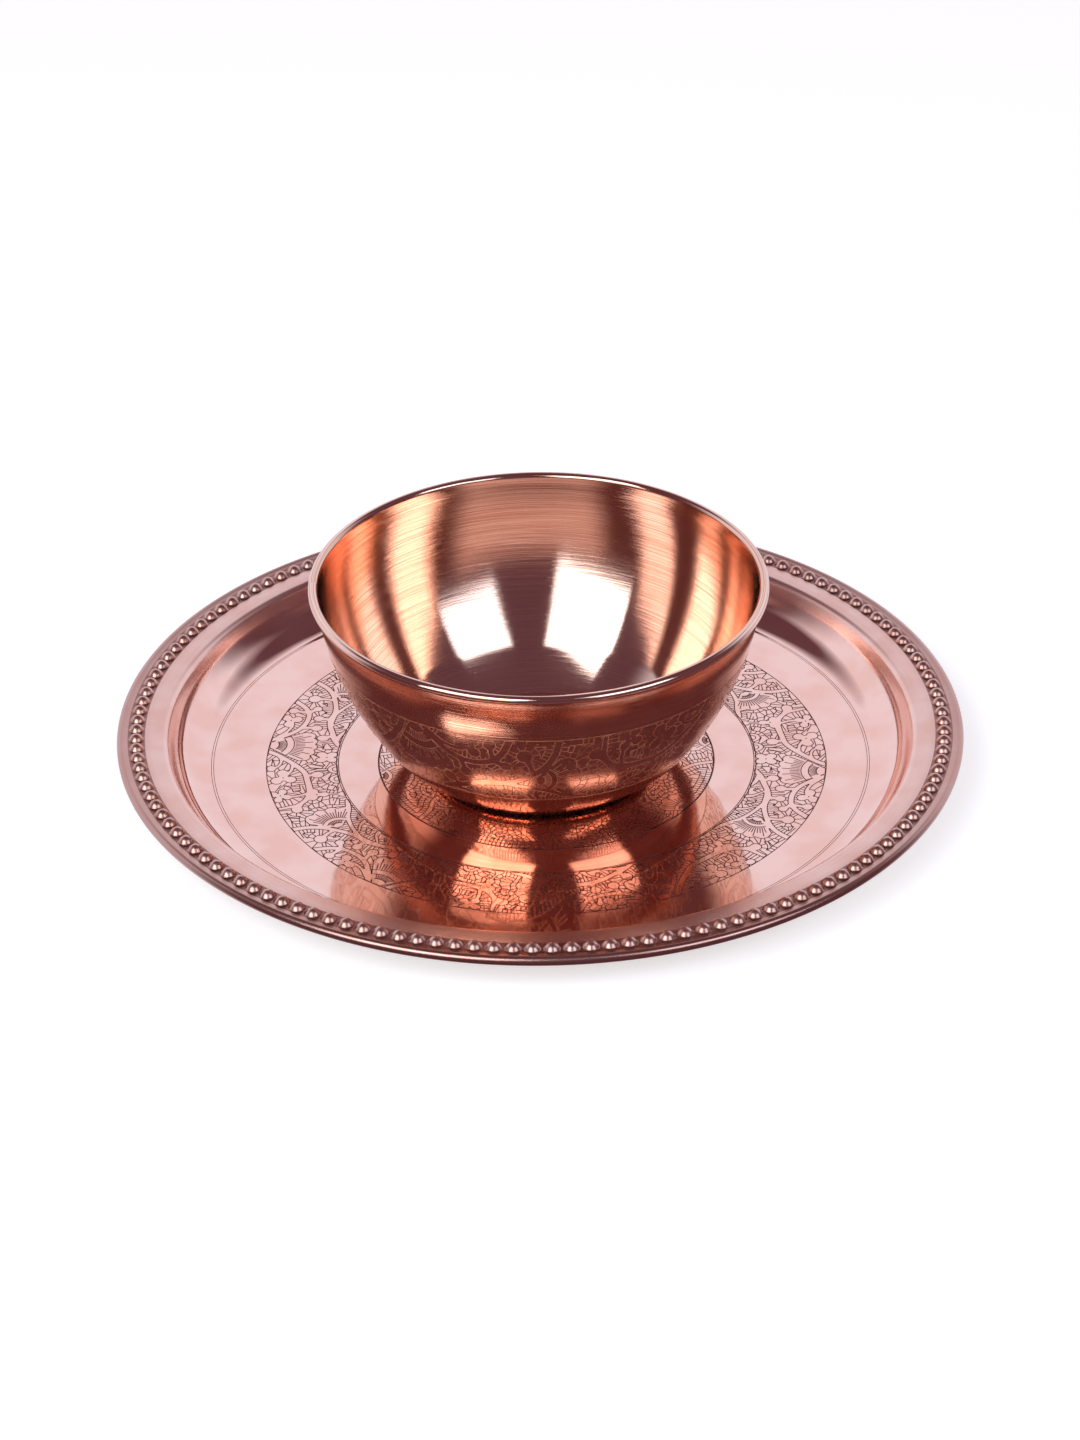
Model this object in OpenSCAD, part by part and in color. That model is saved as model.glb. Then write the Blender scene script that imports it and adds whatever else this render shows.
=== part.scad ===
// Copper serving tray with a pearl edge, and the loose bowl that stands in it.
// Both are spun from sheet and have their outer edge rolled over a steel wire.
// Origin: centre of the tray's underside. +Z is up, +Y is the back.

/* [Tray] */
// Outer radius of the tray, over its rolled edge
tray_r = 130; // [100:1:170]
// Thickness of the tray's sheet
tray_t = 0.7; // [0.6:0.1:1]
// Height of the rim's top face above the underside
rim_z = 12.7; // [12:0.1:20]
// Radius at which the floor turns up into the wall
floor_r = 110.2; // [85:0.1:145]
// How far the wall leans out from the floor to the rim
wall_lean = 4.6; // [3:0.1:8]
// Radius of the wide cove between the floor and the wall
cove_r = 12.5; // [6:0.5:13]
// Radius of the lip between the wall and the rim
lip_r = 2; // [1:0.1:2.2]

/* [Pearls] */
// Number of pearls around the rim
pearls = 140; // [60:1:150]
// Radius of the circle that the pearls stand on
pearl_ring_r = 124; // [94:0.1:164]
// Outside radius of one pearl
pearl_r = 2.3; // [1.8:0.1:2.4]
// How far a pearl's centre lies below the rim's top face
pearl_sink = 0.5; // [0:0.1:0.8]

/* [Edges] */
// Radius of the steel wire inside the tray's edge
tray_wire_r = 0.8; // [0.6:0.05:1.2]
// Radius of the steel wire inside the bowl's edge
bowl_wire_r = 0.7; // [0.6:0.05:1.2]
// Play between a wire and the sheet rolled around it
wire_play = 0.02; // [0:0.01:0.05]
// Rise of the tray's rolled edge above the rim's top face
roll_rise = 0.4; // [0.2:0.05:0.6]

/* [Bowl] */
// Outer radius of the bowl, over its rolled edge
bowl_r = 69.7; // [50:0.1:80]
// Height of the bowl
bowl_h = 62; // [45:0.5:80]
// Thickness of the bowl's sheet
bowl_t = 0.75; // [0.6:0.05:1]
// Radius at which the bowl's base turns up into its side, before the corner is rounded
base_r = 36; // [30:0.5:40]
// Radius of the corner between the base and the side
base_corner_r = 9; // [4:0.5:10]
// Height of the lower bend of the side, as a share of the bowl's height
knee_share = 0.09; // [0.08:0.01:0.12]
// Height of the upper bend of the side, as a share of the bowl's height
swell_share = 0.53; // [0.5:0.01:0.58]

/* [Engraved rings] */
// Radii of the rings cut into the tray's floor
floor_rings = [51.7, 64.4, 86.3];
// Radius of the line that the spinner left outside them
spun_line_r = 101.2; // [95:0.1:105]
// Heights of the two rings around the bowl, above its base
bowl_rings = [15.9, 44.6];
// Radius of the cutting edge that leaves a ring
graver_r = 0.18; // [0.1:0.01:0.25]
// Sideways and forward offset of the hand-cut rings from the tray's centre
ring_offset = [1.8, -2.4];

/* [Hidden] */

$fn = 64;
arc_steps = 12;
curve_steps = 14;
roll_steps = 24;
side_samples = 200;
round_facets = 24;
cut_facets = 16;
copper = [0.80, 0.48, 0.38];
steel = [0.55, 0.55, 0.56];

// The tray's sheet is drawn along its middle line.
tray_roll_r = tray_wire_r + wire_play + tray_t;
tray_roll_mid_r = tray_roll_r - tray_t / 2;
tray_roll = [tray_r - tray_roll_r, rim_z + roll_rise - tray_roll_r];
tray_mid_z = tray_t / 2;
rim_mid_z = rim_z - tray_t / 2;
ramp_angle = 15;
ramp_top = tray_roll + tray_roll_mid_r * [-sin(ramp_angle), cos(ramp_angle)];
ramp_foot = [ramp_top.x - (ramp_top.y - rim_mid_z) / tan(ramp_angle), rim_mid_z];
tuck_angle = -188;

// The bowl's sheet, also along its middle line.
bowl_z = tray_t;
bowl_roll_r = bowl_wire_r + wire_play + bowl_t;
bowl_roll_mid_r = bowl_roll_r - bowl_t / 2;
bowl_roll = [bowl_r - bowl_roll_r, bowl_h - bowl_roll_r];
bowl_top = [bowl_roll.x - bowl_roll_mid_r, bowl_roll.y];
knee_reach = 0.34;
swell_inset = 1.8;
side_knee = [base_r + knee_reach * (bowl_top.x - base_r), knee_share * bowl_h];
side_swell = [bowl_top.x - swell_inset, swell_share * bowl_h];
// The base's corner is rounded towards a point this far along the side's curve.
corner_share = 0.2;
bowl_tuck_angle = -110;

function unit(v) = v / norm(v);

// Points of an arc about a centre, from one angle to another.
function arc(centre, r, from, to, steps) =
    [for (i = [0:steps]) let (a = from + (to - from) * i / steps) centre + r * [cos(a), sin(a)]];

// Points of the rounding between two straight runs that meet at b.
function corner(a, b, c, r, steps) =
    let (
        u = unit(a - b),
        v = unit(c - b),
        half = acos(u * v) / 2,
        centre = b + unit(u + v) * r / sin(half),
        start = b + u * r / tan(half) - centre,
        finish = b + v * r / tan(half) - centre,
        from = atan2(start.y, start.x),
        sweep = atan2(start.x * finish.y - start.y * finish.x, start * finish)
    )
    arc(centre, r, from, from + sweep, steps);

// One point of a smooth curve through four handles.
function curve(p, t) =
    p[0] * pow(1 - t, 3) + 3 * p[1] * pow(1 - t, 2) * t + 3 * p[2] * (1 - t) * t * t + p[3] * pow(t, 3);

// Point i of a line, moved sideways by d.
function beside(line, i, d) =
    let (along = unit(line[min(i + 1, len(line) - 1)] - line[max(i - 1, 0)]))
    line[i] + d * [-along.y, along.x];

// Outline of a sheet of thickness t that follows a line.
function sheet(line, t) = concat(
    [for (i = [0:len(line) - 1]) beside(line, i, t / 2)],
    [for (i = [len(line) - 1:-1:0]) beside(line, i, -t / 2)]
);

tray_heel = [floor_r, tray_mid_z];
tray_lip = [floor_r + wall_lean, rim_mid_z];
tray_line = concat(
    [[0, tray_mid_z]],
    corner([0, tray_mid_z], tray_heel, tray_lip, cove_r, arc_steps),
    corner(tray_heel, tray_lip, ramp_foot, lip_r, arc_steps),
    [ramp_foot],
    arc(tray_roll, tray_roll_mid_r, 90 + ramp_angle, tuck_angle, roll_steps)
);

bowl_foot = [base_r - bowl_t / 2, bowl_t / 2];
side = [bowl_foot, side_knee, side_swell, bowl_top];
bowl_line = concat(
    [[0, bowl_t / 2]],
    corner([0, bowl_t / 2], bowl_foot, curve(side, corner_share), base_corner_r, arc_steps),
    [for (i = [4:curve_steps - 1]) curve(side, i / curve_steps)],
    arc(bowl_roll, bowl_roll_mid_r, 180, bowl_tuck_angle, roll_steps)
);

// Radius of the bowl's outside at height z, by walking down its side.
function side_r(z) =
    let (
        steps = [for (i = [0:side_samples]) curve(side, i / side_samples)],
        found = [for (p = steps) if (p.y <= z) p.x]
    )
    found[len(found) - 1] + bowl_t / 2;

module ring_cut(r, z) {
    rotate_extrude() translate([r, z]) circle(r = graver_r, $fn = cut_facets);
}

// A pearl is pushed up from below, so it is a dome outside and a hollow inside.
module pearl_dome() {
    rotate_extrude() intersection() {
        circle(r = pearl_r);
        translate([0, pearl_sink - tray_t / 2]) square(pearl_r);
    }
}

module around_rim() {
    for (i = [0:pearls - 1])
        rotate(360 * i / pearls)
            translate([pearl_ring_r, 0, rim_z - pearl_sink]) children();
}

module tray_sheet() {
    color(copper) difference() {
        union() {
            rotate_extrude() polygon(sheet(tray_line, tray_t));
            around_rim() pearl_dome($fn = round_facets);
        }
        around_rim() sphere(r = pearl_r - tray_t, $fn = round_facets);
        translate([ring_offset.x, ring_offset.y, 0])
            for (r = floor_rings) ring_cut(r, tray_t);
        ring_cut(spun_line_r, tray_t);
    }
}

module tray_rim_wire() {
    color(steel) rotate_extrude() translate(tray_roll) circle(r = tray_wire_r, $fn = round_facets);
}

module bowl_shell() {
    color(copper) translate([0, 0, bowl_z]) difference() {
        rotate_extrude() polygon(sheet(bowl_line, bowl_t));
        for (z = bowl_rings) ring_cut(side_r(z), z);
    }
}

module bowl_rim_wire() {
    color(steel) translate([0, 0, bowl_z])
        rotate_extrude() translate(bowl_roll) circle(r = bowl_wire_r, $fn = round_facets);
}

tray_sheet();
tray_rim_wire();
bowl_shell();
bowl_rim_wire();
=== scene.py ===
# Copper serving tray with a pearl edge and an engraved floor, and the loose engraved bowl in it.
import math

import bmesh
import bpy
import numpy as np
from mathutils import Matrix, Vector


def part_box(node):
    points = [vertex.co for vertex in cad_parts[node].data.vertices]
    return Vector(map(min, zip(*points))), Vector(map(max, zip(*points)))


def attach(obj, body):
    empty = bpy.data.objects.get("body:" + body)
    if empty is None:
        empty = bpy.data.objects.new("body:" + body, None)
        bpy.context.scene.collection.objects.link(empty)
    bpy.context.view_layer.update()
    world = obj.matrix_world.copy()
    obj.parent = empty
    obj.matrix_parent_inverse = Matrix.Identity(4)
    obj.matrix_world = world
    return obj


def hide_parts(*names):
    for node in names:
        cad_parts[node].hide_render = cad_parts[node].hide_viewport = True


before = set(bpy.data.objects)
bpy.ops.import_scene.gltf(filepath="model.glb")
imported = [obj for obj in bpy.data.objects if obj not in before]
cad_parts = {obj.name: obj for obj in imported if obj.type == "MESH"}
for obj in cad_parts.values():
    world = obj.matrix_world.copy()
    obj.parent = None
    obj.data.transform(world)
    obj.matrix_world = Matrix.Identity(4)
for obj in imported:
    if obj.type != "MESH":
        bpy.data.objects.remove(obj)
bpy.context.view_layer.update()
MM = 0.001

# Tray sheet: one disc of soft copper, 0.7 mm thick, spun over a former into floor, wall and rim.
# Each pearl is punched up from below with a round-nosed punch, so it is a dome above and a dimple
# under the rim, and the outer edge is rolled over a steel wire to stiffen it.
SHEET_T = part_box("bowl_shell")[0].z
TRAY_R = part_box("tray_sheet")[1].x
RIM_Z = 12.7 * MM
FLOOR_R = 110.2 * MM
WALL_LEAN = 4.6 * MM
COVE_R = 12.5 * MM
LIP_R = 2 * MM
PEARLS = 140
PEARL_RING_R = 124 * MM
PEARL_R = 2.3 * MM
PEARL_SINK = 0.5 * MM
PEARL_SIDES = 16
PEARL_STEPS = (24, 42, 60, 78)
PEARL_FLARE = 1.14
PEARL_WAIST = 1.03
RIM_SLOPE = math.radians(15)
EDGE_TUCK = -188
COVE_STEPS = 12
LIP_STEPS = 5
EDGE_STEPS = 18


def wire_circle(node):
    """Middle point (radius, height) and thickness radius of a wire ring, from its CAD node."""
    low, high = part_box(node)
    r = (high.z - low.z) / 2
    return Vector((high.x - r, (high.z + low.z) / 2)), r


def arc(centre, r, start, end, steps):
    """Points of an arc in the section plane, angles in degrees."""
    turns = [math.radians(start + (end - start) * i / steps) for i in range(steps + 1)]
    return [centre + r * Vector((math.cos(a), math.sin(a))) for a in turns]


def corner(a, b, c, r, steps):
    """Points of the rounding between two straight runs that meet at b."""
    u = (a - b).normalized()
    v = (c - b).normalized()
    half = math.acos(u @ v) / 2
    centre = b + (u + v).normalized() * r / math.sin(half)
    start = b + u * r / math.tan(half) - centre
    finish = b + v * r / math.tan(half) - centre
    begin = math.degrees(math.atan2(start.y, start.x))
    sweep = math.degrees(math.atan2(start.x * finish.y - start.y * finish.x, start @ finish))
    return arc(centre, r, begin, begin + sweep, steps)


def sheet_outline(line, t):
    """The section of a sheet that follows a line: down one side of it and back up the other."""
    sides = []
    for i, point in enumerate(line):
        along = (line[min(i + 1, len(line) - 1)] - line[max(i - 1, 0)]).normalized()
        sides.append(Vector((-along.y, along.x)) * t / 2)
    top = [p + s for p, s in zip(line, sides)]
    under = [p - s for p, s in zip(line, sides)]
    return top + under[::-1]


def spun_section(bm, outline, angle, steps):
    """Spins an outline, drawn from the axis out and back to the axis, through an angle."""
    verts = [bm.verts.new((p.x, 0, p.y)) for p in outline]
    edges = [bm.edges.new(pair) for pair in zip(verts, verts[1:])]
    bmesh.ops.spin(bm, geom=verts + edges, cent=(0, 0, 0), axis=(0, 0, 1),
                   angle=angle, steps=steps, use_merge=abs(angle - math.tau) < 1e-9, use_duplicate=False)


def finish_mesh(bm, name, weld=0.004 * MM, crease=40):
    """Welds the seams, turns the faces outwards, and keeps only the sheet's cut edges sharp."""
    bmesh.ops.remove_doubles(bm, verts=bm.verts, dist=weld)
    bmesh.ops.recalc_face_normals(bm, faces=bm.faces)
    for face in bm.faces:
        face.smooth = True
    for edge in bm.edges:
        edge.smooth = len(edge.link_faces) == 2 and edge.calc_face_angle(0) < math.radians(crease)
    mesh = bpy.data.meshes.new(name)
    bm.to_mesh(mesh)
    bm.free()
    piece = bpy.data.objects.new(name, mesh)
    bpy.context.scene.collection.objects.link(piece)
    return piece


tray_roll, tray_wire_r = wire_circle("tray_rim_wire")
roll_mid_r = TRAY_R - tray_roll.x - SHEET_T / 2
ramp_top = tray_roll + roll_mid_r * Vector((-math.sin(RIM_SLOPE), math.cos(RIM_SLOPE)))
rim_mid_z = RIM_Z - SHEET_T / 2
ramp_foot = Vector((ramp_top.x - (ramp_top.y - rim_mid_z) / math.tan(RIM_SLOPE), rim_mid_z))
centre = Vector((0, SHEET_T / 2))
heel = Vector((FLOOR_R, SHEET_T / 2))
lip = Vector((FLOOR_R + WALL_LEAN, rim_mid_z))

# The rim is cut into four narrow rings around the pearls, so that a pearl can be let into them.
pearl_pitch = math.tau / PEARLS
half_patch = PEARL_RING_R * pearl_pitch / 2
rim_stops = [Vector((PEARL_RING_R + half_patch * s, rim_mid_z)) for s in (-1, -0.5, 0, 0.5, 1)]
tray_line = [centre, Vector((FLOOR_R * 0.5, SHEET_T / 2))]
tray_line += corner(centre, heel, lip, COVE_R, COVE_STEPS)
tray_line += corner(heel, lip, ramp_foot, LIP_R, LIP_STEPS)
tray_line += rim_stops
tray_line += arc(tray_roll, roll_mid_r, 90 + math.degrees(RIM_SLOPE), EDGE_TUCK, EDGE_STEPS)

bm = bmesh.new()
spun_section(bm, sheet_outline(tray_line, SHEET_T), pearl_pitch, 4)
pearl_axis = Vector((math.cos(pearl_pitch / 2), math.sin(pearl_pitch / 2), 0)) * PEARL_RING_R


def let_in_pearl(bm, level, rings, tip):
    """Opens the rim over a pearl at one level and draws its edge through rings of (radius, height)."""
    patch = [f for f in bm.faces if all(abs(v.co.z - level) < 1e-6 for v in f.verts)
             and abs(f.calc_center_median().xy.length - PEARL_RING_R) < half_patch]
    rim_edges = {e for f in patch for e in f.edges}
    shared = {e for e in rim_edges if len([f for f in e.link_faces if f in patch]) == 2}
    bmesh.ops.delete(bm, geom=patch, context="FACES_ONLY")
    bmesh.ops.delete(bm, geom=[e for e in shared if e.is_valid], context="EDGES")
    border = [e for e in rim_edges - shared if e.is_valid]
    loose = [v for v in bm.verts if not v.link_edges]
    bmesh.ops.delete(bm, geom=loose, context="VERTS")
    place = Matrix.Translation(pearl_axis + Vector((0, 0, rings[0][1])))
    ring = bmesh.ops.create_circle(bm, cap_ends=False, radius=rings[0][0], segments=PEARL_SIDES,
                                   matrix=place)["verts"]
    edges = list({e for v in ring for e in v.link_edges})
    bmesh.ops.bridge_loops(bm, edges=border + edges)
    for radius, height in rings[1:]:
        grown = bmesh.ops.extrude_edge_only(bm, edges=edges)["geom"]
        ring = [g for g in grown if isinstance(g, bmesh.types.BMVert)]
        edges = [g for g in grown if isinstance(g, bmesh.types.BMEdge)]
        for v in ring:
            out = (v.co - pearl_axis).xy.normalized() * radius
            v.co = (pearl_axis.x + out.x, pearl_axis.y + out.y, height)
    cap = bmesh.ops.contextual_create(bm, geom=edges)["faces"]
    middle = bmesh.ops.poke(bm, faces=cap)["verts"]
    middle[0].co.z = tip


# A pearl's foot flares out into the rim, and its dome is a little under half a ball.
dome_z = RIM_Z - PEARL_SINK
steps = [math.radians(a) for a in PEARL_STEPS]
dome = [(PEARL_R * math.cos(a), dome_z + PEARL_R * math.sin(a)) for a in steps]
foot = [(PEARL_R * PEARL_FLARE, RIM_Z), (PEARL_R * PEARL_WAIST, RIM_Z + 0.1 * MM)]
let_in_pearl(bm, RIM_Z, foot + dome, dome_z + PEARL_R)
hollow_r = PEARL_R - SHEET_T
dimple = [(hollow_r * math.cos(a), dome_z + hollow_r * math.sin(a)) for a in steps[1:]]
dimple.insert(0, (hollow_r * 1.15, RIM_Z - SHEET_T))
let_in_pearl(bm, RIM_Z - SHEET_T, dimple, dome_z + hollow_r)

sector = bm.verts[:] + bm.edges[:] + bm.faces[:]
for i in range(1, PEARLS):
    copy = bmesh.ops.duplicate(bm, geom=sector)["geom"]
    turn = Matrix.Rotation(pearl_pitch * i, 3, "Z")
    bmesh.ops.rotate(bm, verts=[g for g in copy if isinstance(g, bmesh.types.BMVert)], matrix=turn)
tray = finish_mesh(bm, "tray_sheet_visual")
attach(tray, "tray")
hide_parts("tray_sheet")


def colour(code):
    """An sRGB hex colour as linear values."""
    parts = [int(code[i:i + 2], 16) / 255 for i in (1, 3, 5)]
    return [p / 12.92 if p <= 0.04045 else ((p + 0.055) / 1.055) ** 2.4 for p in parts] + [1]


def add(tree, kind, settings=(), **links):
    """Adds a node; settings go on the node or, where they name an input, on its socket."""
    node = tree.nodes.new(kind)
    for key, value in dict(settings).items():
        if isinstance(key, str) and hasattr(node, key):
            setattr(node, key, value)
        else:
            node.inputs[key].default_value = value
    for key, source in links.items():
        socket = node.inputs[int(key[3:]) if key.startswith("in_") else key.replace("_", " ")]
        tree.links.new(source, socket)
    return node


# Polished spun copper: pink and bright where it mirrors a pale wall, deep orange where it mirrors
# itself. The sheet was planished, which leaves soft shallow dents, and the rim kept its spinning lines.
def spun_copper():
    material = bpy.data.materials.new("polished_spun_copper")
    material.use_nodes = True
    tree = material.node_tree
    tree.nodes.clear()
    place = add(tree, "ShaderNodeTexCoord").outputs["Object"]
    parts = add(tree, "ShaderNodeSeparateXYZ", Vector=place)
    flat = add(tree, "ShaderNodeCombineXYZ", X=parts.outputs["X"], Y=parts.outputs["Y"])
    radius = add(tree, "ShaderNodeVectorMath", {"operation": "LENGTH"}, in_0=flat.outputs["Vector"])
    on_rim = add(tree, "ShaderNodeMapRange", {"From Min": FLOOR_R, "From Max": FLOOR_R + WALL_LEAN},
                 Value=radius.outputs["Value"])

    # Planishing dents, about 14 mm across and under a tenth of a millimetre deep.
    dents = add(tree, "ShaderNodeTexNoise", {"Scale": 1 / (14 * MM), "Detail": 0.6}, Vector=place)
    dent_bump = add(tree, "ShaderNodeBump", {"Strength": 0.7, "Distance": 0.13 * MM},
                    Height=dents.outputs["Fac"])

    # Spinning lines on the wall and the rim, under a millimetre apart, which run all the way round.
    turns = add(tree, "ShaderNodeTexNoise",
                {"noise_dimensions": "1D", "Scale": 1 / (0.8 * MM), "Detail": 3.0},
                W=radius.outputs["Value"])
    lines = add(tree, "ShaderNodeMath", {"operation": "MULTIPLY"}, in_0=turns.outputs["Fac"],
                in_1=on_rim.outputs["Result"])
    line_bump = add(tree, "ShaderNodeBump", {"Strength": 0.8, "Distance": 0.035 * MM},
                    Height=lines.outputs["Value"], Normal=dent_bump.outputs["Normal"])

    # A thin film of tarnish: soft clouds of 15 mm. On top of it, painted shade: brown in the valleys
    # between the pearls, a little over the pearls themselves, and a rim that darkens towards its outer
    # edge.
    film = add(tree, "ShaderNodeTexNoise", {"Scale": 1 / (15 * MM), "Detail": 2.0}, Vector=place)
    film_share = add(tree, "ShaderNodeMapRange", {"From Min": 0.40, "From Max": 0.62, "To Max": 0.5},
                     Value=film.outputs["Fac"])
    near_pearls = add(tree, "ShaderNodeMath", {"operation": "COMPARE", 1: PEARL_RING_R, 2: PEARL_R * 1.15},
                      in_0=radius.outputs["Value"])
    # Painted shade: the rim is browned low down around the pearls, in the valleys where shade falls.
    low = add(tree, "ShaderNodeMapRange", {"From Min": RIM_Z + 0.9 * MM, "From Max": RIM_Z, "To Max": 0.7},
              Value=parts.outputs["Z"])
    valley_shade = add(tree, "ShaderNodeMath", {"operation": "MULTIPLY"}, in_0=near_pearls.outputs["Value"],
                 in_1=low.outputs["Result"])
    # Painted shade: the rim's colour darkens from the pearls out to the edge.
    edge_shade = add(tree, "ShaderNodeMapRange",
                {"From Min": PEARL_RING_R - 2 * PEARL_R, "From Max": TRAY_R, "To Max": 0.55},
                Value=radius.outputs["Value"])
    # Painted shade: the valley and edge shade, plus a little over the whole pearl ring, mixed towards a
    # dark brown.
    painted_shade = add(tree, "ShaderNodeMath", {"operation": "MAXIMUM"}, in_0=valley_shade.outputs["Value"],
               in_1=edge_shade.outputs["Result"])
    pearl_and_edge_shade = add(tree, "ShaderNodeMath", {"operation": "MULTIPLY_ADD", 1: 0.12},
                  in_0=near_pearls.outputs["Value"], in_2=painted_shade.outputs["Value"])
    clean = add(tree, "ShaderNodeMix", {"data_type": "RGBA", 6: colour("#FACDBB"), 7: colour("#F1B59D")},
                Factor=film_share.outputs["Result"])
    tint = add(tree, "ShaderNodeMix", {"data_type": "RGBA", 7: colour("#8F584C")},
               Factor=pearl_and_edge_shade.outputs["Value"], in_6=clean.outputs[2])
    smooth = add(tree, "ShaderNodeMapRange", {"To Min": 0.055, "To Max": 0.27},
                 Value=on_rim.outputs["Result"])
    rough = add(tree, "ShaderNodeMath", {"operation": "MULTIPLY_ADD", 1: 0.05},
                in_0=near_pearls.outputs["Value"], in_2=smooth.outputs["Result"])
    metal = add(tree, "ShaderNodeBsdfPrincipled", {"Metallic": 1.0}, Base_Color=tint.outputs[2],
                Roughness=rough.outputs["Value"], Normal=line_bump.outputs["Normal"])
    add(tree, "ShaderNodeOutputMaterial", Surface=metal.outputs["BSDF"])
    return material


tray.data.materials.append(spun_copper())

# Floor engraving: a band of vines and fans between two scribed rings, and a medallion under the bowl.
# A hand graver cut it into the polished floor. Stems, buds and petals stay bright, and the ground
# around them is filled with rows of small bricks that follow each outline. Sizes are in millimetres.
BAND_IN = 64.4
BAND_OUT = 86.3
BAND_W = BAND_OUT - BAND_IN
REPEATS = 6
PERIOD = 79.0
BRICK_ROW = 1.75
BRICK_GAP = 1.25
GRID = 0.12
SLACK = 0.06
BRICK_ROWS = 4
BRICK_LEAN = 0.07
chance = np.random.default_rng(11)


def flowing(points, step=0.35):
    """A smooth line through a few given points, as closely spaced points."""
    p = np.array(points, float)
    ends = np.vstack([2 * p[0] - p[1], p, 2 * p[-1] - p[-2]])
    line = [p[:1]]
    for a, b, c, d in zip(ends, ends[1:], ends[2:], ends[3:]):
        n = max(2, math.ceil(np.hypot(*(c - b)[:2]) / step))
        t = np.linspace(0, 1, n + 1)[1:, None]
        line.append(0.5 * (2 * b + (c - a) * t + (2 * a - 5 * b + 4 * c - d) * t ** 2
                           + (3 * b - 3 * c + d - a) * t ** 3))
    return np.vstack(line)


def bent(x, y, radius, start, end, step=0.5):
    """A stretch of a circle, angles in degrees."""
    n = max(3, math.ceil(abs(math.radians(end - start)) * radius / step))
    a = np.radians(np.linspace(start, end, n + 1))
    return np.c_[x + radius * np.cos(a), y + radius * np.sin(a)]


class Drawing:
    """The bright shapes, as round dabs (x, y, radius), and single cuts, as lines, in millimetres."""

    def __init__(self):
        self.dabs = []
        self.cuts = []

    def stem(self, *points):
        """A stem through points of (x, y, half width)."""
        self.dabs.extend(flowing(points))

    def bud(self, x, y, r):
        """A round bud or petal."""
        self.dabs.append((x, y, r))

    def flower(self, x, y, petals, reach, size, start=90):
        """Round petals about a centre, with the graver's dot in the middle."""
        self.bud(x, y, size * 0.9)
        for i in range(petals):
            a = math.radians(start + 360 * i / petals)
            self.bud(x + reach * math.cos(a), y + reach * math.sin(a), size)
        self.cuts.append(bent(x, y, 0.12, 0, 360, 0.15))

    def fan(self, x, y, aim, eye, reach, spread, lobes, rays):
        """A fan: a hatched eye, a bright crescent around it, and a lobed skirt with rays."""
        crescent = eye * 1.42
        lobe_r = reach * math.radians(2 * spread) / lobes * 0.52
        for r in np.arange(0.8, reach - lobe_r, 0.9):
            for a in np.radians(np.arange(-spread, spread + 1, 6)):
                turn = math.radians(aim) + a
                self.bud(x + r * math.cos(turn), y + r * math.sin(turn), 1.0)
        for i in range(lobes):
            turn = math.radians(aim - spread + 2 * spread * (i + 0.5) / lobes)
            self.bud(x + (reach - lobe_r) * math.cos(turn), y + (reach - lobe_r) * math.sin(turn), lobe_r)
        for r in (eye * 0.55, eye, crescent):
            self.cuts.append(bent(x, y, r, aim - spread - 6, aim + spread + 6))
        ticks = [(eye * 0.55, eye, 9, i) for i in range(9)]
        ticks += [(crescent * 1.05, reach * (0.9 if i % 3 == 1 else 0.74), rays, i) for i in range(rays)]
        for near, far, count, i in ticks:
            turn = math.radians(aim - spread + 2 * spread * (i + 0.5) / count)
            out = np.array((math.cos(turn), math.sin(turn)))
            self.cuts.append(np.array([(x, y) + out * near, (x, y) + out * far]))


def room_around(dabs, x, y, period=0, far=7.0):
    """Distance from each grid point to the nearest bright shape, less than nothing inside one."""
    room = np.full(x.shape, far)
    for dx, dy, r in dabs:
        for shift in (-period, 0, period) if period else (0,):
            left, right = (int((dx + shift + s * (far + r) - x[0, 0]) / GRID) for s in (-1, 1))
            low, high = (int((dy + s * (far + r) - y[0, 0]) / GRID) for s in (-1, 1))
            part = np.s_[max(low, 0):max(high, 0), max(left, 0):max(right, 0)]
            np.minimum(room[part], np.hypot(x[part] - dx - shift, y[part] - dy) - r, out=room[part])
    return room


def level_lines(field, level, corner):
    """The lines along which a field has one value, followed from cell to cell of its grid."""
    above = field > level
    mixed = (above[:-1, :-1] != above[1:, 1:]) | (above[1:, :-1] != above[:-1, 1:])
    links = {}
    for i, j in np.argwhere(mixed).tolist():
        sides = [(i, j, 0, 1), (i, j + 1, 1, 0), (i + 1, j, 0, 1), (i, j, 1, 0)]
        crossed = [s for s in sides if above[s[0], s[1]] != above[s[0] + s[2], s[1] + s[3]]]
        for a, b in zip(crossed[::2], crossed[1::2]):
            links.setdefault(a, []).append(b)
            links.setdefault(b, []).append(a)
    lines = []
    for start in sorted(links, key=lambda s: len(links[s])):
        chain = [start]
        while links[chain[-1]]:
            here = chain[-1]
            there = links[here].pop()
            links[there].remove(here)
            chain.append(there)
        points = []
        for i, j, di, dj in chain:
            t = (level - field[i, j]) / (field[i + di, j + dj] - field[i, j])
            points.append((corner[0] + (j + dj * t) * GRID, corner[1] + (i + di * t) * GRID))
        lines.append(np.array(points))
    return lines


def spaced(line, step):
    """Points along a line at an even spacing, with both ends kept."""
    run = np.r_[0, np.cumsum(np.hypot(*np.diff(line, axis=0).T))]
    at = np.linspace(0, run[-1], max(1, round(run[-1] / step)) + 1)
    return np.c_[np.interp(at, run, line[:, 0]), np.interp(at, run, line[:, 1])]


def cross(a, b):
    """Which side of one step the other turns to, for rows of steps at once."""
    return a[..., 0] * b[..., 1] - a[..., 1] * b[..., 0]


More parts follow.
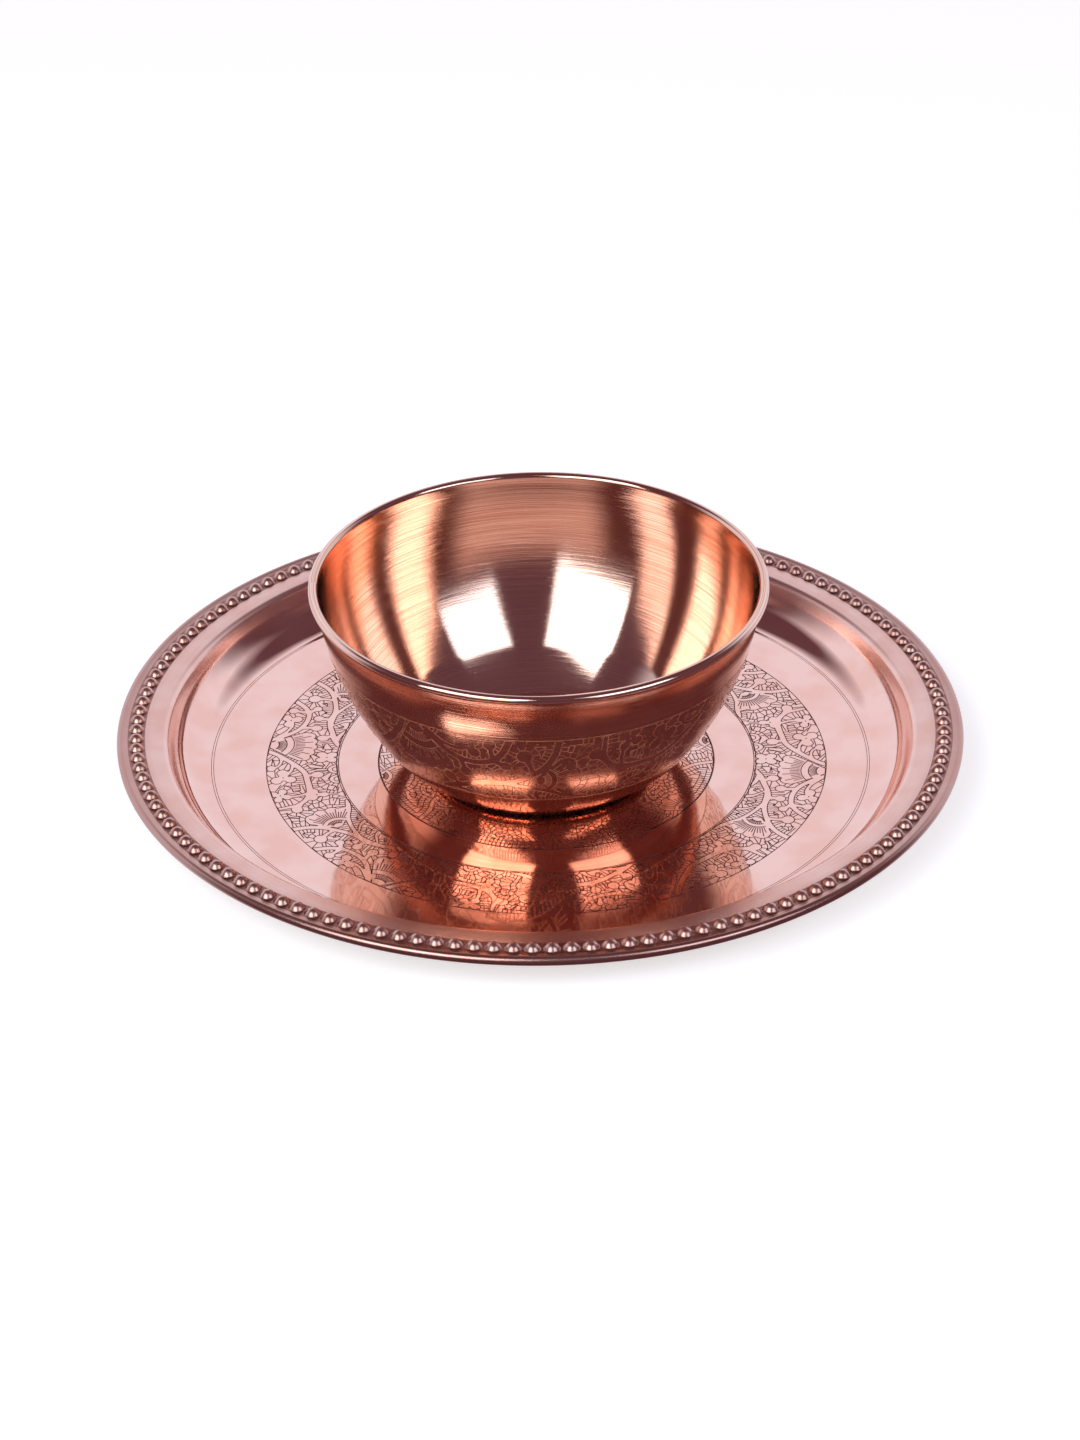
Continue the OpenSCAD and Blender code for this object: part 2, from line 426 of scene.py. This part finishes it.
def brick_ground(dabs, low, high, period=0, edge=None):
    """Cuts the outlines of the bright shapes and fills the ground around them with rows of bricks."""
    low = np.array(low, float)
    x, y = np.meshgrid(np.arange(low[0], high[0] + GRID, GRID), np.arange(low[1], high[1] + GRID, GRID))
    figure = room_around(dabs, x, y, period)
    margin = edge(x, y) if edge else np.minimum(y - low[1], high[1] - y)
    ground = np.minimum(figure, margin)
    slopes = np.gradient(ground, GRID)
    top = np.array(ground.shape) - 1

    def read(grid, p):
        i, j = np.clip(np.rint((p[::-1] - low[::-1]) / GRID).astype(int), 0, top)
        return grid[i, j]

    inside = np.where(margin < 0.1, 99.0, figure)
    outlines = [line for line in level_lines(inside, 0, low) if len(line) > 12]
    rows = [(0, line) for line in outlines]
    rows += [(0, line) for line in level_lines(ground, SLACK, low) if len(line) > 12]
    lines = outlines
    for row in range(1, BRICK_ROWS + 1):
        found = [line for line in level_lines(ground, row * BRICK_ROW, low) if len(line) > 30]
        lines = lines + found
        rows += [(row, line) for line in found]
    starts = np.empty((0, 2))
    spans = np.empty((0, 2))
    for row, rail in rows:
        for p in spaced(rail, BRICK_GAP)[:-1]:
            n = np.array((read(slopes[1], p), read(slopes[0], p)))
            if np.hypot(*n) < 0.3:
                continue
            turn = chance.normal(0, BRICK_LEAN)
            n = np.array((n[0] - turn * n[1], n[1] + turn * n[0])) / np.hypot(*n)
            for reach in np.arange(0.3, 2.4 * BRICK_ROW, GRID):
                value = read(ground, p + n * reach)
                if value >= (row + 1) * BRICK_ROW or (value <= row * BRICK_ROW + SLACK and reach > 0.5):
                    break
            middle = p + n * reach / 2
            span = n * reach
            if read(ground, middle) < row * BRICK_ROW + 0.15:
                continue
            if len(starts):
                apart = np.hypot(*(starts + spans / 2 - middle).T).min()
                side_a = cross(spans, p - starts) * cross(spans, p + span - starts)
                side_b = cross(span, starts - p) * cross(span, starts + spans - p)
                if apart < 0.72 * BRICK_GAP or ((side_a < 0) & (side_b < 0)).any():
                    continue
            starts = np.vstack([starts, p])
            spans = np.vstack([spans, span])
    return [spaced(line, 0.55) for line in lines] + [np.array((p, p + s)) for p, s in zip(starts, spans)]


def draw_band():
    """One repeat of the band: x along it from the upright fan, y out from the inner ring."""
    art = Drawing()
    art.fan(0, BAND_W, -90, 5.4, 15, 36, 5, 14)
    art.fan(49, 8.6, 178, 3.6, 11.4, 46, 4, 15)
    # Right of the upright fan: a stem with a curl, three flowers and two buds.
    art.stem((3.4, 21.6, 0.9), (5.5, 18.2, 0.9), (10, 13.6, 1), (15, 10.4, 1), (20, 9.8, 1), (26, 10, 1.1),
             (30, 11.6, 1), (32.6, 15, 0.8), (33, 18.5, 0.7), (33, 22, 0.6))
    art.bud(35, 16.4, 1.8)
    art.stem((32.4, 14.2, 0.8), (34, 15.6, 0.9))
    art.stem((5, 18.6, 0.5), (8, 17.4, 0.55), (10.6, 17.9, 0.5), (12.2, 19.6, 0.5))
    art.bud(12.2, 20.4, 1.5)
    art.stem((10, 13.8, 0.6), (13.4, 14.2, 0.6), (16, 15.6, 0.6))
    art.flower(17.4, 17, 3, 2.5, 1.8, 60)
    art.stem((27.4, 11, 0.7), (28, 14.4, 0.6), (27.6, 18, 0.6))
    art.flower(26.6, 19.3, 4, 2.2, 1.4, 30)
    art.bud(17, 6.4, 2)
    art.stem((17.2, 9.6, 0.7), (17, 7.4, 0.7))
    art.stem((26.4, 9.8, 0.9), (28.4, 8.6, 1.1))
    art.flower(28.8, 8.4, 3, 2.2, 1.5, 45)
    art.stem((28.6, 7, 0.5), (29.6, 4.6, 0.5), (30.6, 2.2, 0.5))
    art.bud(31, 0.6, 1.6)
    art.flower(6.2, 3.4, 4, 2.4, 1.7, 45)
    # Two arches stand on the inner ring.
    for x in (14.2, 20.8):
        art.bud(x, 0.2, 2.9)
        art.cuts.append(bent(x, 0.2, 1.5, 0, 180))
    # Left of the upright fan: a stem falls from the outer ring to the inner one, with buds above it
    # and leaves that spring from the inner ring below it.
    art.stem((-35.2, 22, 0.9), (-34, 17, 0.9), (-31.8, 13.4, 0.9), (-28.6, 10.6, 0.9), (-25, 8.4, 0.9),
             (-21.5, 7.2, 1), (-17.6, 6.8, 1.2), (-13.6, 5.8, 1), (-9.6, 4, 1), (-5.4, 2.4, 1),
             (-1.4, 0.4, 0.8))
    art.stem((-28.8, 11.4, 0.7), (-28.4, 13.6, 0.7), (-27.6, 15.4, 0.8))
    art.bud(-27, 17, 2)
    art.stem((-17.6, 7.2, 0.9), (-17.4, 9, 0.8))
    art.bud(-17.1, 10.8, 1.7)
    art.stem((-8, 3.6, 0.8), (-6.4, 5.2, 0.8))
    art.bud(-5.8, 6.2, 1.9)
    art.stem((-43.5, 0.4, 0.8), (-38, 2, 0.9), (-33, 4.2, 0.8), (-27, 5.8, 0.7), (-21, 6.9, 0.8))
    art.stem((-28.4, 0.2, 0.9), (-27, 2.8, 0.6), (-24, 5.2, 0.4))
    art.stem((-19.4, 0.2, 1.1), (-18, 2.6, 0.7), (-14.4, 5, 0.4))
    art.stem((-12, 0.2, 0.6), (-8.6, 1.3, 0.8), (-5, 1.4, 0.6))
    # A second stem arches between the outer ring and the upright fan.
    art.stem((-2.6, 21.8, 0.9), (-5.4, 18, 0.9), (-9, 15, 0.9), (-12.8, 13.8, 0.9), (-16.4, 14, 0.9),
             (-19.4, 15.2, 0.9), (-21.8, 17.8, 0.9), (-23.6, 21.6, 0.9))
    art.stem((-10.6, 14, 0.8), (-11.2, 11.6, 0.8))
    art.bud(-11.4, 9.6, 1.8)
    art.stem((-19.4, 14.8, 0.8), (-21.2, 14, 0.8))
    art.bud(-22.2, 13.4, 1.5)
    art.stem((-19.2, 15.4, 0.7), (-19, 18, 0.7))
    art.bud(-18.8, 20, 1.6)
    art.stem((-4.4, 20.4, 0.5), (-7.4, 18.2, 0.6), (-10.8, 17.4, 0.6), (-12.8, 18, 0.6))
    art.flower(-13.7, 18.8, 3, 2.1, 1.6, 120)
    return art.cuts + brick_ground(art.dabs, (-PERIOD / 2, 0), (PERIOD / 2, BAND_W), PERIOD)


MEDALLION_R = 51.7


def draw_medallion():
    """The round field in the middle: a rosette, with vines around it that repeat eight times."""
    art = Drawing()
    art.flower(0, 0, 8, 7.2, 2.9, 0)
    art.bud(0, 0, 4.6)
    art.cuts.append(bent(0, 0, 3.4, 0, 360))
    art.cuts.append(bent(0, 0, 1.5, 0, 360))
    for i in range(8):
        turn = np.array(((math.cos(math.tau * i / 8), -math.sin(math.tau * i / 8)),
                         (math.sin(math.tau * i / 8), math.cos(math.tau * i / 8))))
        leaf = Drawing()
        leaf.stem((12.4, 1, 0.8), (17, 4.6, 0.9), (22.6, 5.4, 1), (27.6, 2.4, 1), (30.4, -2.6, 0.9),
                  (35, -6.6, 0.9), (40.6, -7.6, 0.9), (45.6, -4.6, 0.8), (51.6, -3, 0.8))
        leaf.stem((25.4, 4, 0.8), (29.6, 5.6, 0.7), (31, 8.4, 0.7))
        leaf.bud(31.6, 9.8, 1.8)
        leaf.stem((40, -7.6, 0.7), (41.4, -3.6, 0.6), (39.8, -1, 0.6))
        leaf.flower(38.6, 1, 3, 2.4, 1.7, 20)
        leaf.stem((22, 5.2, 0.7), (19.4, 1.6, 0.6))
        leaf.bud(19, 0.2, 1.6)
        leaf.bud(35.4, -11.6, 1.9)
        leaf.stem((35, -6.8, 0.8), (35.4, -9.8, 0.7))
        leaf.fan(51.7, 9.6, 184, 3.2, 9.6, 42, 4, 9)
        art.dabs += [(*(turn @ (x, y)), r) for x, y, r in leaf.dabs]
        art.cuts += [line @ turn.T for line in leaf.cuts]
    box = MEDALLION_R + 0.5
    return art.cuts + brick_ground(art.dabs, (-box, -box), (box, box),
                                   edge=lambda x, y: MEDALLION_R - np.hypot(x, y))


def engrave(name, groups, place):
    """Lays groups of (cuts, width in mm) as narrow strips set into a face, a hair proud of it."""
    bm = bmesh.new()
    across = bm.verts.layers.float_vector.new("across")
    for cuts, width in groups:
        for cut in cuts:
            points, normals = place(cut)
            along = np.gradient(points, axis=0)
            if np.abs(points[0] - points[-1]).max() < 1e-9:
                along[0] = along[-1] = points[1] - points[-2]
            side = np.cross(along, normals)
            side *= width * MM / np.linalg.norm(side, axis=1)[:, None]
            verts = [bm.verts.new(p) for p in points + normals * CUT_PROUD - side / 2]
            for vert, step in zip(verts, side):
                vert[across] = step
            for pair in zip(verts, verts[1:]):
                bm.edges.new(pair)
    grown = bmesh.ops.extrude_edge_only(bm, edges=bm.edges[:])["geom"]
    for vert in (g for g in grown if isinstance(g, bmesh.types.BMVert)):
        vert.co += vert[across]
    bmesh.ops.remove_doubles(bm, verts=bm.verts, dist=WELD)
    bm.normal_update()
    bmesh.ops.solidify(bm, geom=bm.faces[:], thickness=CUT_DEPTH)
    return finish_mesh(bm, name, WELD)


def on_floor(cut):
    """Places floor cuts given as millimetres from the middle of the engraved rings."""
    spot = np.c_[cut + RING_OFFSET, np.full(len(cut), SHEET_T / MM)]
    return spot * MM, np.tile((0.0, 0.0, 1.0), (len(cut), 1))


def around_floor(cut, turn):
    """Bends a cut of the straight band round the floor."""
    angle = turn + cut[:, 0] / (PERIOD * REPEATS / math.tau)
    reach = BAND_IN + cut[:, 1]
    return np.c_[reach * np.cos(angle), reach * np.sin(angle)]


def ring(r, step=1.0):
    """A full circle about the middle of the engraved rings."""
    return bent(0, 0, r, 0, 360, step)


CUT_PROUD = 0.014 * MM
CUT_DEPTH = 0.05 * MM
WELD = 0.0004 * MM
OUTLINE_W = 0.32
RING_OFFSET = np.array((1.8, -2.4))
SPUN_LINE_R = 101.2
FIRST_FAN = math.radians(-6.2)
band = draw_band()
turns = [FIRST_FAN + math.tau * i / REPEATS for i in range(REPEATS)]
laid_round = [around_floor(cut, turn) for cut in band for turn in turns]
floor_band = engrave("floor_band_engraving", [(laid_round, OUTLINE_W)], on_floor)
medallion = engrave("medallion_engraving", [(draw_medallion(), OUTLINE_W * 0.9)], on_floor)
band_rings = [ring(BAND_OUT), ring(BAND_IN - 0.3), ring(BAND_IN + 0.3)]
scribed = engrave("floor_rings", [(band_rings, 0.3), ([ring(MEDALLION_R)], 0.55)], on_floor)
spun_rings = [ring(SPUN_LINE_R + s) - RING_OFFSET for s in (-0.35, 0.35)]
spun_line = engrave("floor_spun_line", [(spun_rings, 0.16)], on_floor)


# Cut copper: a graver leaves a rough groove that soon tarnishes brown, so a cut looks dark where the
# sheet around it is bright, and pale where the sheet is dark.
def cut_copper(name, dark, light):
    material = bpy.data.materials.new(name)
    material.use_nodes = True
    tree = material.node_tree
    tree.nodes.clear()
    place = add(tree, "ShaderNodeTexCoord").outputs["Object"]
    tarnish = add(tree, "ShaderNodeTexNoise", {"Scale": 1 / (6 * MM), "Detail": 3.0}, Vector=place)
    chatter = add(tree, "ShaderNodeTexNoise", {"Scale": 1 / (0.5 * MM), "Detail": 1.0}, Vector=place)
    share = add(tree, "ShaderNodeMapRange", {"From Min": 0.35, "From Max": 0.65},
                Value=tarnish.outputs["Fac"])
    tint = add(tree, "ShaderNodeMix", {"data_type": "RGBA", 6: colour(dark), 7: colour(light)},
               Factor=share.outputs["Result"])
    rough = add(tree, "ShaderNodeMapRange", {"To Min": 0.4, "To Max": 0.65}, Value=chatter.outputs["Fac"])
    bump = add(tree, "ShaderNodeBump", {"Strength": 0.6, "Distance": 0.03 * MM},
               Height=chatter.outputs["Fac"])
    metal = add(tree, "ShaderNodeBsdfPrincipled", {"Metallic": 1.0}, Base_Color=tint.outputs[2],
                Roughness=rough.outputs["Result"], Normal=bump.outputs["Normal"])
    add(tree, "ShaderNodeOutputMaterial", Surface=metal.outputs["BSDF"])
    return material


cut_finish = cut_copper("tarnished_graver_cuts", "#75443F", "#985F54")
for piece in (floor_band, medallion, scribed, spun_line):
    piece.data.materials.append(cut_finish)
    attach(piece, "tray")

# Bowl shell: one disc of copper, 0.75 mm thick, spun into a flat base and a side that swells a little
# before it runs up straight. Its edge is rolled outwards over a wire. It stands loose on the tray's
# floor, which is why it is a body of its own.
BOWL_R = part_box("bowl_shell")[1].x
BOWL_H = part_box("bowl_shell")[1].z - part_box("bowl_shell")[0].z
BOWL_T = 0.75 * MM
BASE_R = 36 * MM
BASE_CORNER_R = 9 * MM
KNEE_REACH = 0.34
KNEE_SHARE = 0.09
SWELL_SHARE = 0.53
SWELL_INSET = 1.8 * MM
RING_LOW = 15.9 * MM
RING_HIGH = 44.6 * MM
CORNER_SHARE = 0.2
BOWL_TUCK = -110
BOWL_STEPS = 192
CORNER_STEPS = 10
SIDE_STEPS = 28
ROLL_STEPS = 16
bowl_roll, bowl_wire_r = wire_circle("bowl_rim_wire")
bowl_roll_mid_r = BOWL_R - bowl_roll.x - BOWL_T / 2
base_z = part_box("bowl_shell")[0].z


def curve(handles, t):
    """One point of a smooth curve through four handles."""
    a, b, c, d = handles
    return a * (1 - t) ** 3 + 3 * b * (1 - t) ** 2 * t + 3 * c * (1 - t) * t * t + d * t ** 3


bowl_top = bowl_roll - Vector((bowl_roll_mid_r, 0))
bowl_foot = Vector((BASE_R - BOWL_T / 2, base_z + BOWL_T / 2))
knee = Vector((BASE_R + KNEE_REACH * (bowl_top.x - BASE_R), base_z + KNEE_SHARE * BOWL_H))
swell = Vector((bowl_top.x - SWELL_INSET, base_z + SWELL_SHARE * BOWL_H))
side = [bowl_foot, knee, swell, bowl_top]
middle = Vector((0, base_z + BOWL_T / 2))
bowl_line = [middle, Vector((BASE_R / 2, middle.y))]
bowl_line += corner(middle, bowl_foot, curve(side, CORNER_SHARE), BASE_CORNER_R, CORNER_STEPS)
bowl_line += [curve(side, i / SIDE_STEPS) for i in range(8, SIDE_STEPS)]
bowl_line += arc(bowl_roll, bowl_roll_mid_r, 180, BOWL_TUCK, ROLL_STEPS)
bm = bmesh.new()
spun_section(bm, sheet_outline(bowl_line, BOWL_T), math.tau, BOWL_STEPS)
bowl = finish_mesh(bm, "bowl_shell_visual")
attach(bowl, "bowl")
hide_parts("bowl_shell")


# Brushed spun copper: the bowl was finished on the lathe with fine emery, so its mirror is drawn out
# sideways, with streaks that run round it. They are deepest in the plain band under the edge.
def brushed_copper():
    material = bpy.data.materials.new("brushed_spun_copper")
    material.use_nodes = True
    tree = material.node_tree
    tree.nodes.clear()
    place = add(tree, "ShaderNodeTexCoord").outputs["Object"]
    parts = add(tree, "ShaderNodeSeparateXYZ", Vector=place)
    bearing = add(tree, "ShaderNodeMath", {"operation": "ARCTAN2"}, in_0=parts.outputs["Y"],
                  in_1=parts.outputs["X"])
    flat = add(tree, "ShaderNodeCombineXYZ", X=parts.outputs["X"], Y=parts.outputs["Y"])
    radius = add(tree, "ShaderNodeVectorMath", {"operation": "LENGTH"}, in_0=flat.outputs["Vector"])

    # Hairlines 0.25 mm wide and about 60 degrees long, wound round the bowl over soft bands of 1.5 mm.
    wound = add(tree, "ShaderNodeCombineXYZ", X=bearing.outputs["Value"], Y=parts.outputs["Z"],
                Z=radius.outputs["Value"])
    fine = add(tree, "ShaderNodeMapping", {"Scale": (1.4, 1 / (0.25 * MM), 1 / (0.25 * MM))},
               Vector=wound.outputs["Vector"])
    hairs = add(tree, "ShaderNodeTexNoise", {"Scale": 1.0, "Detail": 3.0, "Roughness": 0.6},
                Vector=fine.outputs["Vector"])
    wide = add(tree, "ShaderNodeMapping", {"Scale": (0.8, 1 / (1.5 * MM), 1 / (1.5 * MM))},
               Vector=wound.outputs["Vector"])
    bands = add(tree, "ShaderNodeTexNoise", {"Scale": 1.0, "Detail": 1.0}, Vector=wide.outputs["Vector"])
    climb = {"From Min": base_z + RING_LOW, "From Max": base_z + RING_HIGH, "To Min": 0.5, "To Max": 1.0}
    under_edge = add(tree, "ShaderNodeMapRange", climb, Value=parts.outputs["Z"])
    both = add(tree, "ShaderNodeMath", {"operation": "MULTIPLY_ADD", 1: 0.8}, in_0=bands.outputs["Fac"],
               in_2=hairs.outputs["Fac"])
    depth = add(tree, "ShaderNodeMath", {"operation": "MULTIPLY"}, in_0=both.outputs["Value"],
                in_1=under_edge.outputs["Result"])
    bump = add(tree, "ShaderNodeBump", {"Strength": 0.8, "Distance": 0.024 * MM},
               Height=depth.outputs["Value"])

    # The hairlines hold a little tarnish, so they are browner and less sharp than the metal between.
    share = add(tree, "ShaderNodeMapRange", {"From Min": 0.38, "From Max": 0.68},
                Value=hairs.outputs["Fac"])
    film = add(tree, "ShaderNodeMath", {"operation": "MULTIPLY"}, in_0=share.outputs["Result"],
               in_1=under_edge.outputs["Result"])
    tint = add(tree, "ShaderNodeMix", {"data_type": "RGBA", 6: colour("#FAD3BD"), 7: colour("#D69A7E")},
               Factor=film.outputs["Value"])
    rough = add(tree, "ShaderNodeMapRange", {"To Min": 0.06, "To Max": 0.14},
                Value=share.outputs["Result"])
    metal = add(tree, "ShaderNodeBsdfPrincipled",
                {"Metallic": 1.0, "Anisotropic": 0.75, "Anisotropic Rotation": 0.25},
                Base_Color=tint.outputs[2], Roughness=rough.outputs["Result"],
                Normal=bump.outputs["Normal"])
    add(tree, "ShaderNodeOutputMaterial", Surface=metal.outputs["BSDF"])
    return material


bowl.data.materials.append(brushed_copper())

# Bowl engraving: the same vines and fans on a coarser scale, between two rings around the side.
# The engraver worked with the bowl upside down, so the fans hang from the upper ring.
BOWL_REPEATS = 4
BOWL_FIRST_FAN = math.radians(235)
WALL_SAMPLES = 400
LAP_STEPS = 361
wall = np.array([curve(side, i / WALL_SAMPLES) for i in range(WALL_SAMPLES + 1)])
wall_out = np.gradient(wall, axis=0)
wall_out = np.c_[wall_out[:, 1], -wall_out[:, 0]] / np.linalg.norm(wall_out, axis=1)[:, None]
wall = wall + wall_out * BOWL_T / 2
wall_run = np.r_[0, np.cumsum(np.linalg.norm(np.diff(wall, axis=0), axis=1))]
band_low, band_high = np.interp((base_z + RING_LOW, base_z + RING_HIGH), wall[:, 1], wall_run)


def on_bowl(cut):
    """Places cuts given as (bearing, distance up the side) on the outside of the bowl."""
    angle, climb = cut[:, 0], cut[:, 1]
    r, z, out_r, out_z = (np.interp(climb, wall_run, column) for column in (*wall.T, *wall_out.T))
    points = np.c_[r * np.cos(angle), r * np.sin(angle), z]
    return points, np.c_[out_r * np.cos(angle), out_r * np.sin(angle), out_z]


def around_bowl(cut, turn):
    """Bends a cut of the straight band round the bowl's side."""
    share = cut[:, 1] / BAND_W
    angle = turn - cut[:, 0] * math.tau / BOWL_REPEATS / PERIOD
    return np.c_[angle, band_low + share * (band_high - band_low)]


turns = [BOWL_FIRST_FAN + math.tau * i / BOWL_REPEATS for i in range(BOWL_REPEATS)]
laid_round = [around_bowl(cut, turn) for cut in band for turn in turns]
lap = np.linspace(0, math.tau, LAP_STEPS)
band_rings = [np.c_[lap, np.full(LAP_STEPS, climb)] for climb in (band_low, band_high)]
bowl_band = engrave("bowl_band_engraving", [(laid_round, 0.27), (band_rings, 0.3)], on_bowl)
# Painted highlight: the bowl's cuts take a much lighter copper than the floor's, for the glints their
# grooves catch; the tarnish mottling is the same.
bowl_band.data.materials.append(cut_copper("bowl_cuts_painted_highlight", "#C98A6E", "#F0BA9C"))
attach(bowl_band, "bowl")


# Rim wires: drawn mild steel, bent into a ring and butted, which each sheet's edge is rolled around.
# They hold the edges stiff, and only a sliver of them shows from below. The steel is grey, with
# darker blotches of scale.
def drawn_steel():
    material = bpy.data.materials.new("drawn_steel_wire")
    material.use_nodes = True
    tree = material.node_tree
    tree.nodes.clear()
    place = add(tree, "ShaderNodeTexCoord").outputs["Object"]
    scale = add(tree, "ShaderNodeTexNoise", {"Scale": 1 / (4 * MM), "Detail": 5.0}, Vector=place)
    share = add(tree, "ShaderNodeMapRange", {"From Min": 0.4, "From Max": 0.65},
                Value=scale.outputs["Fac"])
    tint = add(tree, "ShaderNodeMix", {"data_type": "RGBA", 6: colour("#B9B8B6"), 7: colour("#7E7B78")},
               Factor=share.outputs["Result"])
    rough = add(tree, "ShaderNodeMapRange", {"To Min": 0.3, "To Max": 0.5}, Value=share.outputs["Result"])
    metal = add(tree, "ShaderNodeBsdfPrincipled", {"Metallic": 1.0}, Base_Color=tint.outputs[2],
                Roughness=rough.outputs["Result"])
    add(tree, "ShaderNodeOutputMaterial", Surface=metal.outputs["BSDF"])
    return material


wire_finish = drawn_steel()
for name in ("tray_rim_wire", "bowl_rim_wire"):
    wire = bpy.data.objects[name]
    wire.material_slots[0].material = wire_finish

# Studio: a white paper floor that glows a little, two softboxes in front of the tray and a pale wall
# behind it, under a dark ceiling. Polished copper shows its room more than itself, so the room is what
# gives the floor its bright streaks and the bowl its dark bands.
PANEL_OUT = 1.1
FRONT = (0.13, 0.066, 0.09)
BACK = (0.89, 0.94, 1.14)
TO_BACK = (-0.16, 0.98, 0)
bm = bmesh.new()
bmesh.ops.create_grid(bm, x_segments=1, y_segments=1, size=6)
floor = finish_mesh(bm, "studio_floor")
floor.visible_glossy = False
paper = bpy.data.materials.new("studio_paper")
paper.use_nodes = True
tree = paper.node_tree
tree.nodes.clear()
sheet = add(tree, "ShaderNodeBsdfPrincipled",
            {"Base Color": (0.9, 0.9, 0.88, 1), "Roughness": 0.9,
             "Emission Color": (1, 1, 0.98, 1), "Emission Strength": 0.6})
add(tree, "ShaderNodeOutputMaterial", Surface=sheet.outputs["BSDF"])
floor.data.materials.append(paper)


def softbox(name, corners, radiance):
    """A panel light a little over a metre out, from the bearing and elevation of its four corners."""
    bm = bmesh.new()
    verts = []
    for bearing, elevation in corners:
        a, b = math.radians(bearing), math.radians(elevation)
        verts.append(bm.verts.new(PANEL_OUT * Vector((math.sin(a), -math.cos(a), math.tan(b)))))
    bmesh.ops.contextual_create(bm, geom=verts)
    panel = finish_mesh(bm, name)
    panel.visible_camera = False
    glow = bpy.data.materials.new(name)
    glow.use_nodes = True
    tree = glow.node_tree
    tree.nodes.clear()
    light = add(tree, "ShaderNodeEmission", {"Color": (*radiance, 1)})
    add(tree, "ShaderNodeOutputMaterial", Surface=light.outputs["Emission"])
    panel.data.materials.append(glow)


softbox("softbox_left", [(-12, 17), (-57, 19), (-65, 57), (-5, 48.5)], (3.1, 3.4, 3.8))
softbox("softbox_right", [(65, 21), (27.5, 22), (22.5, 47), (69, 46)], (2.0, 2.3, 2.8))

world = bpy.data.worlds.new("studio_surround")
bpy.context.scene.world = world
world.use_nodes = True
tree = world.node_tree
tree.nodes.clear()
way = add(tree, "ShaderNodeTexCoord").outputs["Generated"]
parts = add(tree, "ShaderNodeSeparateXYZ", Vector=way)
towards_back = add(tree, "ShaderNodeVectorMath", {"operation": "DOT_PRODUCT", 1: TO_BACK}, in_0=way)
back = add(tree, "ShaderNodeMapRange",
           {"interpolation_type": "SMOOTHSTEP", "From Min": 0.02, "From Max": 0.45},
           Value=towards_back.outputs["Value"])
below_ceiling = add(tree, "ShaderNodeMapRange",
                    {"From Min": 0.58, "From Max": 0.72, "To Min": 1.0, "To Max": 0.0},
                    Value=parts.outputs["Z"])
share = add(tree, "ShaderNodeMath", {"operation": "MULTIPLY"}, in_0=back.outputs["Result"],
            in_1=below_ceiling.outputs["Result"])
shade = add(tree, "ShaderNodeMix", {"data_type": "RGBA", 6: (*FRONT, 1), 7: (*BACK, 1)},
            Factor=share.outputs["Value"])
light = add(tree, "ShaderNodeBackground", Color=shade.outputs[2])
add(tree, "ShaderNodeOutputWorld", Surface=light.outputs["Background"])

# Camera: a long lens at 1.4 m, which keeps the tray's ellipse nearly even from front to back. It looks
# down at the tray by about 32 degrees, with the smallest tip and roll.
DISTANCE = 1.4
ELEVATION = math.radians(31.9)
TIP = math.radians(0.43)
ROLL = math.radians(-0.59)
lens = bpy.data.cameras.new("camera")
lens.lens = 113.2
lens.sensor_width = 36
camera = bpy.data.objects.new("camera", lens)
stand = Vector((0, -DISTANCE * math.cos(ELEVATION), DISTANCE * math.sin(ELEVATION) + SHEET_T))
tilt = Matrix.Rotation(math.radians(90) - ELEVATION + TIP, 4, "X")
camera.matrix_world = Matrix.Translation(stand) @ tilt @ Matrix.Rotation(ROLL, 4, "Z")
bpy.context.scene.collection.objects.link(camera)
bpy.context.scene.camera = camera
bpy.context.scene.view_settings.view_transform = "Standard"
